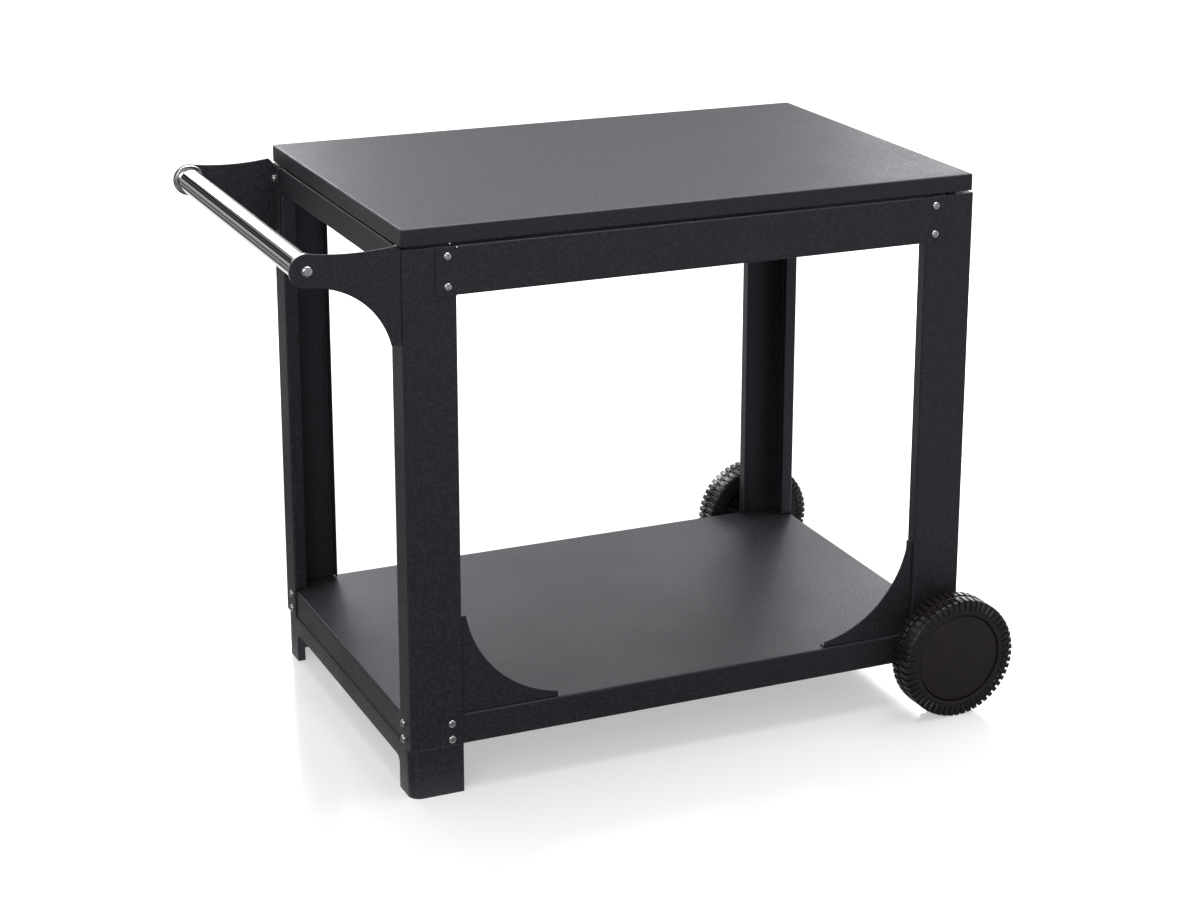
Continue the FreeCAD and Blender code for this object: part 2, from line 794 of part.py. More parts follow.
def make_push_nut():
    start = V(0, 0, hub_outer + side_clearance + washer_thickness)
    return on_front_axle(ring(push_nut_d / 2, axle_r, start, Z, push_nut_length))


def make_axle():
    reach = wheel_y + hub_outer + side_clearance + washer_thickness + push_nut_length + axle_end
    return rod(axle_r, V(axle_x, -reach, axle_z), Y, 2 * reach)


# Small pieces that belong to the top and the gussets.

def top_spacers():
    made = []
    for spot in top_spots():
        start = V(spot.seat.x, spot.seat.y, apron_top)
        made.append(ring(top_spacer_d / 2, screw_hole_d() / 2, start, Z, shadow_gap))
    return made


def rivets(spots):
    made = []
    for spot in spots:
        head = rod(rivet_head_d / 2, V(0, 0, 0), Z, rivet_head_h)
        top = [e for e in head.Edges if e.CenterOfMass.z > rivet_head_h - 0.01 and len(e.Vertexes) == 1]
        head = head.makeFillet(rivet_head_h * 0.8, top)
        shank = rod(rivet_d / 2, V(0, 0, 0), Z * -1, spot.stack)
        tail = rod(rivet_tail_d / 2, V(0, 0, -spot.stack), Z * -1, rivet_tail)
        made.append(spot.placed(head.fuse([shank, tail])))
    return made


def save(name, shapes):
    """Write one node, a single piece or a group of like pieces."""
    group = Part.makeCompound(shapes) if len(shapes) > 1 else shapes[0]
    group.exportStep("parts/" + name + ".step")


def main():
    os.makedirs("parts", exist_ok=True)
    save("table_top", [make_table_top()])
    save("top_stiffener", [make_top_stiffener()])
    for name, leg in make_legs().items():
        save(name, [leg])
    long_apron = make_long_apron()
    save("apron_front", [long_apron])
    save("apron_rear", [mirrored_y(long_apron)])
    for name, apron in make_end_aprons().items():
        save(name, [apron])
    save("shelf", [make_shelf()])
    save("shelf_stiffener", [make_shelf_stiffener()])
    gusset = make_gusset()
    save("gusset_handle_end", [gusset])
    save("gusset_wheel_end", [mirrored_x(gusset)])
    save("foot_skirt", [make_foot_skirt()])

    bracket = make_bracket()
    save("handle_bracket_front", [bracket])
    save("handle_bracket_rear", [mirrored_y(bracket)])
    save("handle_bar", [make_handle_bar()])
    collar = make_collar()
    save("bar_collar_front", [collar])
    save("bar_collar_rear", [mirrored_y(collar)])
    save("bar_screws", bar_screws())

    save("axle", [make_axle()])
    pieces = {"wheel": make_wheel(), "hub_cap": make_hub_cap(), "wheel_bush": make_bush(),
              "axle_spacer": make_spacer()}
    for name, piece in pieces.items():
        save(name + "_front", [piece])
        save(name + "_rear", [mirrored_y(piece)])
    for name, piece in (("axle_washers", make_washer()), ("axle_push_nuts", make_push_nut())):
        save(name, [piece, mirrored_y(piece)])

    for name, spots in (("apron", apron_spots()), ("handle_bracket", handle_spots()),
                        ("end_apron", wheel_end_spots()), ("shelf", shelf_spots()),
                        ("top", top_spots()), ("skirt", skirt_spots())):
        save(name + "_screws", panel_screws(spots))
        save(name + "_nuts", panel_nuts(spots))
    save("top_spacers", top_spacers())
    save("gusset_rivets", rivets(gusset_spots() + mirrored_spots(gusset_spots())))


main()
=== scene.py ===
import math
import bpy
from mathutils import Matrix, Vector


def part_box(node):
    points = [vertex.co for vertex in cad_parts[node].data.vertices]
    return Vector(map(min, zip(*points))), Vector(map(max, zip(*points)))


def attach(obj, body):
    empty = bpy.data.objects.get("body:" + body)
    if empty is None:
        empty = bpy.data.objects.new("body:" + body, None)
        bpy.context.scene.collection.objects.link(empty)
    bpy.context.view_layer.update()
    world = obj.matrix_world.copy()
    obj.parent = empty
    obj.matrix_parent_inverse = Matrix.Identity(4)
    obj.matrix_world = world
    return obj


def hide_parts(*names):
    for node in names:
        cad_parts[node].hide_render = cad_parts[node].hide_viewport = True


bl_info = {
    "name": "Grill cart",
    "version": (1, 0, 0),
    "blender": (4, 5, 0),
    "location": "View3D > Sidebar > Cart",
    "description": "Dresses the packed grill cart with finishes, wheels and a handle, in a studio",
    "category": "Object",
}

import bmesh
import bpy
from bpy.props import FloatProperty, FloatVectorProperty, IntProperty, PointerProperty
from bpy.types import Operator, Panel, PropertyGroup
from mathutils import Vector

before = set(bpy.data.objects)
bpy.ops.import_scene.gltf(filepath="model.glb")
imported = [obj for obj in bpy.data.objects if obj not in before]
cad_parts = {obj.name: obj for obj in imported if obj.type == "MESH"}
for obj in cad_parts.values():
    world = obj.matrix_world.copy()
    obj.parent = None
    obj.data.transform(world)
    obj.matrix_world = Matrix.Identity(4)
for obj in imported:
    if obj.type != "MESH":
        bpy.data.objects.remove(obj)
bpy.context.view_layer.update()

MM = 0.001
FULL_TURN = 2 * math.pi

# Facets round the bar and its collars, round a hub cap, and of a wheel to each lug. Then the steps in the
# rounds of a collar and of a lug.
BAR_STEPS = 96
CAP_STEPS = 128
STEPS_PER_LUG = 4
COLLAR_ROUND_STEPS = 4
LUG_ROUND_STEPS = 3

# Edges sharper than the first angle get a round, and those flatter than the second are shaded smooth.
SHARP_ANGLE = math.radians(40)
SMOOTH_ANGLE = math.radians(32)

# Points nearer than the first are merged, points are picked by their place within the second, and spokes
# reach into the hub and the web by the third.
MERGE_DISTANCE = MM / 1000
PICK_REACH = MM
JOIN_OVERLAP = MM

front_wheel_lo, front_wheel_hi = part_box("wheel_front")
bush_lo, bush_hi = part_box("wheel_bush_front")
bar_lo, bar_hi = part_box("handle_bar")
collar_lo, collar_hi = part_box("bar_collar_front")

WHEEL_RADIUS = (front_wheel_hi.z - front_wheel_lo.z) / 2
WHEEL_WIDTH = front_wheel_hi.y - front_wheel_lo.y
WHEEL_INNER_FACE = Vector((
    (front_wheel_lo.x + front_wheel_hi.x) / 2,
    front_wheel_hi.y,
    (front_wheel_lo.z + front_wheel_hi.z) / 2,
))
BUSH_RADIUS = (bush_hi.x - bush_lo.x) / 2
BAR_RADIUS = (bar_hi.x - bar_lo.x) / 2
BAR_FRONT_END = Vector(((bar_lo.x + bar_hi.x) / 2, bar_lo.y, (bar_lo.z + bar_hi.z) / 2))
BAR_LENGTH = bar_hi.y - bar_lo.y
COLLAR_RADIUS = (collar_hi.x - collar_lo.x) / 2
COLLAR_LENGTH = bar_lo.y - collar_lo.y
PLUG_LENGTH = collar_hi.y - bar_lo.y


def linear(hex_colour):
    """Linear RGBA of an sRGB hex colour."""
    channels = [int(hex_colour[i:i + 2], 16) / 255 for i in (1, 3, 5)]
    return [c / 12.92 if c <= 0.04045 else ((c + 0.055) / 1.055) ** 2.4 for c in channels] + [1.0]


def colour(name, description, hex_colour):
    """Colour property whose default is an sRGB hex value."""
    return FloatVectorProperty(name=name, description=description, subtype="COLOR", size=4,
                               min=0, max=1, default=linear(hex_colour))


def length(name, description, millimetres):
    """Length property whose default is given in millimetres."""
    return FloatProperty(name=name, description=description, unit="LENGTH", precision=5,
                         min=0, default=millimetres * MM)


class CartWheelSizes(PropertyGroup):
    """Sizes of the moulded wheels."""

    lug_count: IntProperty(name="Lugs", description="Tread lugs in each of the two rows", default=54, min=12)
    lug_height: length("Lug height", "How far the lugs stand out of the tread", 3.6)
    lug_width: length("Lug width", "Width of a lug at the tread", 7.5)
    lug_foot: length("Lug foot", "Width of a lug where its rib ends on the sidewall", 5.4)
    lug_round: length("Lug rounding", "Round on a lug's moulded edges", 0.7)
    shoulder: length("Shoulder", "Round between tread and sidewall", 4)
    row_gap: length("Row gap", "Clear width between the two rows of lugs", 8)
    rib_end: length("Rib end", "Radius at which a lug's rib ends on the sidewall", 79)
    sidewall: length("Sidewall step", "How far the sidewall lies behind its ribs", 2.5)
    tread_rib: length("Tread rib", "Width of the rib between the rows", 3)
    tread_rib_height: length("Tread rib height", "How far the rib between the rows stands out", 2.4)
    inner_bore: length("Inner bore", "Radius of the hollow in the wheel's inner side", 68)
    cap_bore: length("Cap bore", "Radius of the seat of the hub cap", 70.5)
    cap_gap: length("Cap gap", "Groove between the hub cap and its seat", 1.4)
    cap_recess: length("Cap recess", "How far the hub cap lies behind the sidewall", 2)
    cap_thickness: length("Cap thickness", "Thickness of the hub cap's face", 3)
    cap_skirt: length("Cap skirt", "Thickness of the hub cap's skirt", 2)
    web_depth: length("Web depth", "How far the web lies behind the inner face", 22)
    web_thickness: length("Web thickness", "Thickness of the web", 4)
    hub_radius: length("Hub radius", "Radius of the hub", 17)
    hub_inset: length("Hub inset", "How far the hub lies behind the inner face", 3)
    hub_step: length("Hub step", "How far the hub stands out of the web's outer side", 2)
    spoke_count: IntProperty(name="Spokes", description="Spokes on the web's inner side", default=9, min=3)
    spoke_thickness: length("Spoke thickness", "Thickness of a spoke", 4)
    edge_round: length("Edge rounding", "Round on the other moulded edges", 0.6)


class CartHandleSizes(PropertyGroup):
    """Sizes of the handle bar and its collars."""

    bar_wall: length("Bar wall", "Wall thickness of the chromed tube", 1.5)
    collar_round: length("Collar rounding", "Round on the collars' edges", 2)
    screw_bore: length("Screw bore", "Radius of the hole for the screw in the bar's ends", 4.2)


class CartColours(PropertyGroup):
    """Colours of the finishes."""

    powder_coat: colour("Powder coat", "Body colour of the powder coat", "#252427")
    powder_grain: colour("Powder grain", "Lighter grains of the powder coat", "#353438")
    powder_sheen: colour("Powder sheen", "Tint of the powder coat's reflections", "#f5e8ff")
    chrome: colour("Chrome", "Polished chrome plate", "#e4e5e8")
    zinc: colour("Zinc", "Bright zinc plate", "#eeeff1")
    zinc_spangle: colour("Zinc spangle", "Darker crystals of the zinc plate", "#cfd1d5")
    steel: colour("Drawn steel", "Axle and other bare steel", "#a3a3a5")
    rivet: colour("Rivet paint", "Painted heads of the rivets", "#1f1f22")
    nylon: colour("Nylon", "Bushes and spacers", "#1b1b1c")
    wheel: colour("Wheel plastic", "Moulded wheels", "#1d1919")
    wheel_pale: colour("Wheel plastic, pale", "Paler flow marks in the moulded wheels", "#282222")
    cap: colour("Cap plastic", "Hub caps", "#1e1718")
    cap_pale: colour("Cap plastic, pale", "Paler grains of the hub caps", "#2a2123")


class CartStageSettings(PropertyGroup):
    """Floor, lamps and camera."""

    floor_size: FloatProperty(name="Floor", description="Side of the square floor", unit="LENGTH", default=60)
    floor_colour: colour("Floor colour", "Pale studio floor", "#d2d2d2")
    # Painted shade: a dark floor colour that only reflections see, in place of the floor's own pale paint.
    floor_painted_shade: colour("Floor in reflections", "Paint of the floor that the cart reflects", "#1e1e1e")
    floor_lift: FloatProperty(name="Floor lift", description="How far the camera sees the floor made white",
                              default=0.45)
    key_power: FloatProperty(name="Key", description="Power of the overhead lamp", unit="POWER", default=105)
    left_power: FloatProperty(name="Back left", description="Power of the lamp behind the handle end",
                              unit="POWER", default=26)
    right_power: FloatProperty(name="Back right", description="Power of the lamp behind the wheel end",
                               unit="POWER", default=21)
    shelf_power: FloatProperty(name="Back low", description="Power of the low strip lamp behind the shelf",
                               unit="POWER", default=1.9)
    fill_power: FloatProperty(name="Fill", description="Power of the lamp left of the camera", unit="POWER",
                              default=30)
    lens: FloatProperty(name="Lens", description="Focal length on a 36 mm sensor", unit="CAMERA",
                        default=77.381)
    place: FloatVectorProperty(name="Camera place", description="Where the camera stands", unit="LENGTH",
                               default=(-1.5086, -3.5119, 1.6818))
    turn: FloatVectorProperty(name="Camera turn", description="How the camera is turned", subtype="EULER",
                              default=(math.radians(73.676), math.radians(-0.547), math.radians(-25.162)))
    shift: FloatVectorProperty(name="Camera shift", description="Shift of the lens", size=2,
                               default=(-0.065, -0.0908))


def add_node(tree, kind, settings=None, sockets=None):
    """Add a shader node, set it up, and link or fill its sockets."""
    made = tree.nodes.new(kind)
    for name, value in (settings or {}).items():
        setattr(made, name, value)
    for name, value in (sockets or {}).items():
        if isinstance(value, bpy.types.NodeSocket):
            tree.links.new(value, made.inputs[name])
        else:
            made.inputs[name].default_value = value
    return made


def new_material(name):
    """Material with its tree, its Principled shader on the output, and the object's coordinates."""
    material = bpy.data.materials.new(name)
    material.use_nodes = True
    tree = material.node_tree
    tree.nodes.clear()
    shader = add_node(tree, "ShaderNodeBsdfPrincipled")
    add_node(tree, "ShaderNodeOutputMaterial", None, {"Surface": shader.outputs["BSDF"]})
    place = add_node(tree, "ShaderNodeTexCoord").outputs["Object"]
    return material, tree, shader, place


def per_metre(millimetres):
    """Texture scale whose pattern repeats about every given distance."""
    return 1 / (millimetres * MM)


def powder_coat(colours):
    """Baked polyester powder on sheet steel: a dark skin with a fine gritty relief.

    The grit breaks reflections into a soft sheen, grey with a violet cast, that is strong at a low angle.
    Its real grain of 0.3 mm is too fine to show, so it is drawn at 4 mm.
    """
    material, tree, shader, place = new_material("powder-coated steel, fine texture")
    grain = add_node(tree, "ShaderNodeTexNoise", None,
                     {"Vector": place, "Scale": per_metre(4), "Detail": 3.0, "Roughness": 0.65})
    cloud = add_node(tree, "ShaderNodeTexNoise", None,
                     {"Vector": place, "Scale": per_metre(140), "Detail": 2.0})
    specks = add_node(tree, "ShaderNodeMapRange", {"interpolation_type": "SMOOTHSTEP"},
                      {"Value": grain.outputs["Fac"], "From Min": 0.42, "From Max": 0.72})
    skin = add_node(tree, "ShaderNodeMix", {"data_type": "RGBA"},
                    {"Factor": specks.outputs["Result"], "A": colours.powder_coat, "B": colours.powder_grain})
    sheen = add_node(tree, "ShaderNodeMapRange", None,
                     {"Value": cloud.outputs["Fac"], "From Min": 0.3, "From Max": 0.7,
                      "To Min": 0.1, "To Max": 0.16})
    gritty = add_node(tree, "ShaderNodeMath", {"operation": "MULTIPLY_ADD"},
                      {0: grain.outputs["Fac"], 1: 0.6, 2: sheen.outputs["Result"]})
    rounded = add_node(tree, "ShaderNodeBevel", {"samples": 8}, {"Radius": 2.5 * MM})
    relief = add_node(tree, "ShaderNodeBump", None,
                      {"Strength": 0.6, "Distance": 0.5 * MM, "Height": grain.outputs["Fac"],
                       "Normal": rounded.outputs["Normal"]})
    tree.links.new(skin.outputs["Result"], shader.inputs["Base Color"])
    tree.links.new(gritty.outputs["Value"], shader.inputs["Roughness"])
    tree.links.new(relief.outputs["Normal"], shader.inputs["Normal"])
    shader.inputs["IOR"].default_value = 1.5
    shader.inputs["Specular Tint"].default_value = colours.powder_sheen
    return material


def chrome_plate(colours):
    """Polished chrome over a drawn tube: a mirror with faint polishing haze and slight waves."""
    material, tree, shader, place = new_material("chrome-plated steel, polished")
    wave = add_node(tree, "ShaderNodeTexNoise", None,
                    {"Vector": place, "Scale": per_metre(60), "Detail": 1.0})
    haze = add_node(tree, "ShaderNodeMapRange", None,
                    {"Value": wave.outputs["Fac"], "To Min": 0.02, "To Max": 0.06})
    relief = add_node(tree, "ShaderNodeBump", None,
                      {"Strength": 0.1, "Distance": 0.2 * MM, "Height": wave.outputs["Fac"]})
    shader.inputs["Base Color"].default_value = colours.chrome
    shader.inputs["Metallic"].default_value = 1
    tree.links.new(haze.outputs["Result"], shader.inputs["Roughness"])
    tree.links.new(relief.outputs["Normal"], shader.inputs["Normal"])
    return material


def zinc_plate(colours):
    """Bright zinc on small steel hardware: a pale metal with a fine crystal spangle."""
    material, tree, shader, place = new_material("zinc-plated steel, bright")
    spangle = add_node(tree, "ShaderNodeTexVoronoi", None, {"Vector": place, "Scale": per_metre(1.2)})
    cell = add_node(tree, "ShaderNodeSeparateColor", None, {"Color": spangle.outputs["Color"]})
    skin = add_node(tree, "ShaderNodeMix", {"data_type": "RGBA"},
                    {"Factor": cell.outputs["Red"], "A": colours.zinc, "B": colours.zinc_spangle})
    gloss = add_node(tree, "ShaderNodeMapRange", None,
                     {"Value": cell.outputs["Green"], "To Min": 0.14, "To Max": 0.26})
    tree.links.new(skin.outputs["Result"], shader.inputs["Base Color"])
    tree.links.new(gloss.outputs["Result"], shader.inputs["Roughness"])
    shader.inputs["Metallic"].default_value = 1
    return material


def drawn_steel(colours):
    """Bright drawn steel bar: fine draw lines along the axle, in its Y direction."""
    material, tree, shader, place = new_material("drawn steel, bright")
    stretched = add_node(tree, "ShaderNodeMapping", None, {"Vector": place, "Scale": (1.0, 0.02, 1.0)})
    lines = add_node(tree, "ShaderNodeTexNoise", None,
                     {"Vector": stretched.outputs["Vector"], "Scale": per_metre(0.8), "Detail": 2.0})
    gloss = add_node(tree, "ShaderNodeMapRange", None,
                     {"Value": lines.outputs["Fac"], "To Min": 0.22, "To Max": 0.42})
    shader.inputs["Base Color"].default_value = colours.steel
    shader.inputs["Metallic"].default_value = 1
    tree.links.new(gloss.outputs["Result"], shader.inputs["Roughness"])
    return material


def rivet_paint(colours):
    """Stove-enamelled aluminium rivets: smooth dark paint with a little orange peel."""
    material, tree, shader, place = new_material("painted aluminium, stoved")
    peel = add_node(tree, "ShaderNodeTexNoise", None, {"Vector": place, "Scale": per_metre(1.5)})
    relief = add_node(tree, "ShaderNodeBump", None,
                      {"Strength": 0.15, "Distance": 0.1 * MM, "Height": peel.outputs["Fac"]})
    gloss = add_node(tree, "ShaderNodeMapRange", None,
                     {"Value": peel.outputs["Fac"], "To Min": 0.34, "To Max": 0.46})
    shader.inputs["Base Color"].default_value = colours.rivet
    tree.links.new(gloss.outputs["Result"], shader.inputs["Roughness"])
    tree.links.new(relief.outputs["Normal"], shader.inputs["Normal"])
    return material


def moulded_nylon(colours):
    """Moulded nylon: a dull, slightly uneven skin."""
    material, tree, shader, place = new_material("nylon, moulded matt")
    skin = add_node(tree, "ShaderNodeTexNoise", None, {"Vector": place, "Scale": per_metre(2), "Detail": 2.0})
    gloss = add_node(tree, "ShaderNodeMapRange", None,
                     {"Value": skin.outputs["Fac"], "To Min": 0.5, "To Max": 0.62})
    shader.inputs["Base Color"].default_value = colours.nylon
    shader.inputs["IOR"].default_value = 1.53
    tree.links.new(gloss.outputs["Result"], shader.inputs["Roughness"])
    return material


def moulded_plastic(name, dark, pale, grain_size, gloss_range, relief_depth):
    """Injection-moulded plastic: grain from the mould, and faint flow marks in colour and gloss."""
    material, tree, shader, place = new_material(name)
    grain = add_node(tree, "ShaderNodeTexNoise", None,
                     {"Vector": place, "Scale": per_metre(grain_size), "Detail": 2.0})
    flow = add_node(tree, "ShaderNodeTexNoise", None,
                    {"Vector": place, "Scale": per_metre(45), "Detail": 3.0, "Distortion": 0.6})
    skin = add_node(tree, "ShaderNodeMix", {"data_type": "RGBA"},
                    {"Factor": flow.outputs["Fac"], "A": dark, "B": pale})
    gloss = add_node(tree, "ShaderNodeMapRange", None,
                     {"Value": grain.outputs["Fac"], "From Min": 0.3, "From Max": 0.7,
                      "To Min": gloss_range[0], "To Max": gloss_range[1]})
    relief = add_node(tree, "ShaderNodeBump", None,
                      {"Strength": 0.2, "Distance": relief_depth * MM, "Height": grain.outputs["Fac"]})
    tree.links.new(skin.outputs["Result"], shader.inputs["Base Color"])
    tree.links.new(gloss.outputs["Result"], shader.inputs["Roughness"])
    tree.links.new(relief.outputs["Normal"], shader.inputs["Normal"])
    shader.inputs["IOR"].default_value = 1.49
    return material


def wheel_plastic(colours):
    """Polypropylene wheel: satin brown-black, with a grain of 0.8 mm drawn at 1.2 mm so that it shows."""
    return moulded_plastic("polypropylene, moulded satin", colours.wheel, colours.wheel_pale,
                           1.2, (0.2, 0.32), 0.1)


def cap_plastic(colours):
    """ABS hub cap from an eroded mould: duller and finer than the wheel."""
    return moulded_plastic("ABS, spark-eroded grain", colours.cap, colours.cap_pale,
                           0.9, (0.48, 0.6), 0.08)


FINISHES = {
    "powder_coat": powder_coat,
    "chrome": chrome_plate,
    "zinc_steel": zinc_plate,
    "bright_steel": drawn_steel,
    "black_rivet": rivet_paint,
    "black_nylon": moulded_nylon,
    "wheel_plastic": wheel_plastic,
    "cap_plastic": cap_plastic,
}
made_finishes = {}


def finish(slot):
    """Material of one of the record's slots, made when it is first asked for."""
    if slot not in made_finishes:
        made_finishes[slot] = FINISHES[slot](bpy.context.scene.cart_colours)
    return made_finishes[slot]


def finish_nodes(slot, *names):
    """Give nodes that stay as they are the material of a slot."""
    for name in names:
        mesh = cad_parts[name].data
        mesh.materials.clear()
        mesh.materials.append(finish(slot))


def clear_selection():
    """Deselect everything, the imported nodes included."""
    bpy.ops.object.select_all(action="DESELECT")


def pick(piece):
    """Make a piece the only selected object, and the active one."""
    clear_selection()
    piece.select_set(True)
    bpy.context.view_layer.objects.active = piece


def edit():
    """Go into edit mode."""
    bpy.ops.object.mode_set(mode="EDIT")


def done():
    """Go back to object mode."""
    bpy.ops.object.mode_set(mode="OBJECT")


def lay(piece, location, rotation=(0, 0, 0), scale=(1, 1, 1)):
    """Move, turn and scale a piece, and put its place into its mesh."""
    pick(piece)
    piece.location = location
    piece.rotation_euler = rotation
    piece.scale = scale
    bpy.ops.object.transform_apply(location=True, rotation=True, scale=True)


def apply_modifier(piece, kind, **settings):
    """Add a modifier, set it up and apply it."""
    modifier = piece.modifiers.new(kind.lower(), kind)
    for name, value in settings.items():
        setattr(modifier, name, value)
    bpy.context.view_layer.objects.active = piece
    bpy.ops.object.modifier_apply(modifier=modifier.name)


def round_edges(piece, width, segments=2):
    """Round the sharp edges of a piece."""
    apply_modifier(piece, "BEVEL", width=width, segments=segments, limit_method="ANGLE",
                   angle_limit=SHARP_ANGLE)


def face_outwards(piece):
    """In edit mode, turn all faces outwards: a closed skin then holds a positive volume."""
    bpy.ops.mesh.select_all(action="SELECT")
    bpy.ops.mesh.normals_make_consistent(inside=False)
    if bmesh.from_edit_mesh(piece.data).calc_volume(signed=True) < 0:
        bpy.ops.mesh.flip_normals()


def turned(name, outline, steps):
    """Piece of revolution about Z: a point is extruded along an outline of (radius, height), then spun."""
    clear_selection()
    bpy.ops.mesh.primitive_plane_add(size=MM)
    piece = bpy.context.object
    piece.name = name
    edit()
    bpy.ops.mesh.merge(type="CENTER")
    bpy.ops.transform.translate(value=(outline[0][0], 0, outline[0][1]))
    for (r0, z0), (r1, z1) in zip(outline, outline[1:]):
        bpy.ops.mesh.extrude_region_move(TRANSFORM_OT_translate={"value": (r1 - r0, 0, z1 - z0)})
    bpy.ops.mesh.select_all(action="SELECT")
    bpy.ops.mesh.spin(steps=steps, angle=FULL_TURN, center=(0, 0, 0), axis=(0, 0, 1))
    bpy.ops.mesh.select_all(action="SELECT")
    bpy.ops.mesh.remove_doubles(threshold=MERGE_DISTANCE)
    face_outwards(piece)
    done()
    return piece


def quarter_round(centre, radius, start, steps=4):
    """Points of a quarter circle of an outline, from an angle in degrees, anticlockwise."""
    angles = [math.radians(start + 90 * i / steps) for i in range(steps + 1)]
    return [(centre[0] + radius * math.cos(a), centre[1] + radius * math.sin(a)) for a in angles]


def block(name, low, high):
    """Box between two corners, left as the active object."""
    clear_selection()
    low, high = Vector(low), Vector(high)
    bpy.ops.mesh.primitive_cube_add(size=1, location=(low + high) / 2, scale=high - low)
    piece = bpy.context.object
    piece.name = name
    bpy.ops.object.transform_apply(location=True, rotation=True, scale=True)
    return piece


def select_verts(piece, wanted):
    """In edit mode, select the points that pass a test, and what lies between them."""
    mesh = bmesh.from_edit_mesh(piece.data)
    for part in (mesh.verts, mesh.edges, mesh.faces):
        for item in part:
            item.select_set(False)
    for vert in mesh.verts:
        vert.select_set(wanted(vert.co))
    mesh.select_flush(True)
    bmesh.update_edit_mesh(piece.data)


def ring_of(piece, count):
    """Copy a piece's mesh round the Z axis, evenly spaced."""
    pick(piece)
    edit()
    bpy.ops.mesh.select_all(action="SELECT")
    bpy.ops.mesh.spin(steps=count - 1, dupli=True, angle=FULL_TURN * (count - 1) / count,
                      center=(0, 0, 0), axis=(0, 0, 1))
    done()


def join_solid(body, *others):
    """Unite pieces into one closed skin, and remove the pieces that were added."""
    for other in others:
        apply_modifier(body, "BOOLEAN", operation="UNION", solver="EXACT", object=other)
        bpy.data.objects.remove(other)


def shade(piece):
    """Shade a piece smooth, except across its sharp edges."""
    pick(piece)
    bpy.ops.object.shade_smooth_by_angle(angle=SMOOTH_ANGLE)


def dress(piece, slot, body, *nodes):
    """Finish a new piece and let it stand for its nodes."""
    piece.data.name = piece.name
    piece.data.materials.clear()
    piece.data.materials.append(finish(slot))
    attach(piece, body)
    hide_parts(*nodes)


def rear_copy(piece, name):
    """Copy of a piece with its own mesh, mirrored to the rear side."""
    pick(piece)
    bpy.ops.object.duplicate()
    copy = bpy.context.object
    copy.name = name
    lay(copy, (0, 0, 0), scale=(1, -1, 1))
    edit()
    face_outwards(copy)
    done()
    return copy


class CART_OT_table_top(Operator):
    """Powder coat on the table top and its stiffener"""

    bl_idname = "cart.table_top"
    bl_label = "Table top"

    def execute(self, context):
        finish_nodes("powder_coat", "table_top", "top_stiffener")
        return {"FINISHED"}


class CART_OT_legs(Operator):
    """Powder coat on the four legs"""

    bl_idname = "cart.legs"
    bl_label = "Legs"

    def execute(self, context):
        finish_nodes("powder_coat", "leg_front_handle_end", "leg_rear_handle_end",
                     "leg_front_wheel_end", "leg_rear_wheel_end")
        return {"FINISHED"}


class CART_OT_aprons(Operator):
    """Powder coat on the aprons under the top"""

    bl_idname = "cart.aprons"
    bl_label = "Aprons"

    def execute(self, context):
        finish_nodes("powder_coat", "apron_front", "apron_rear", "apron_handle_end", "apron_wheel_end")
        return {"FINISHED"}


class CART_OT_shelf(Operator):
    """Powder coat on the shelf, its stiffener, gussets and foot skirt"""

    bl_idname = "cart.shelf"
    bl_label = "Shelf and feet"

    def execute(self, context):
        finish_nodes("powder_coat", "shelf", "shelf_stiffener", "gusset_handle_end", "gusset_wheel_end",
                     "foot_skirt")
        return {"FINISHED"}


class CART_OT_handle_brackets(Operator):
    """Powder coat on the brackets that carry the handle bar"""

    bl_idname = "cart.handle_brackets"
    bl_label = "Handle brackets"

    def execute(self, context):
        finish_nodes("powder_coat", "handle_bracket_front", "handle_bracket_rear")
        return {"FINISHED"}


class CART_OT_handle_bar(Operator):
    """Chromed tube between two rounded collars"""

    bl_idname = "cart.handle_bar"
    bl_label = "Handle bar"

    def execute(self, context):
        sizes = context.scene.cart_handle
        inner = BAR_RADIUS - sizes.bar_wall
        along_y = (-math.pi / 2, 0, 0)

        tube = [(inner, 0), (BAR_RADIUS, 0), (BAR_RADIUS, BAR_LENGTH), (inner, BAR_LENGTH), (inner, 0)]
        bar = turned("chrome_bar", tube, BAR_STEPS)
        lay(bar, BAR_FRONT_END, along_y)
        shade(bar)
        dress(bar, "chrome", "frame", "handle_bar")

        low = -COLLAR_LENGTH
        outline = [(sizes.screw_bore, low), (COLLAR_RADIUS, low), (COLLAR_RADIUS, 0), (inner, 0),
                   (inner, PLUG_LENGTH), (sizes.screw_bore, PLUG_LENGTH), (sizes.screw_bore, low)]
        collar = turned("chrome_collar_front", outline, BAR_STEPS)
        edit()
        select_verts(collar, lambda p: math.hypot(p.x, p.y) > COLLAR_RADIUS - PICK_REACH)
        bpy.ops.mesh.bevel(offset=sizes.collar_round, segments=COLLAR_ROUND_STEPS, affect="EDGES")
        done()
        lay(collar, BAR_FRONT_END, along_y)
        shade(collar)
        rear = rear_copy(collar, "chrome_collar_rear")
        shade(rear)
        dress(collar, "chrome", "frame", "bar_collar_front")
        dress(rear, "chrome", "frame", "bar_collar_rear")
        return {"FINISHED"}


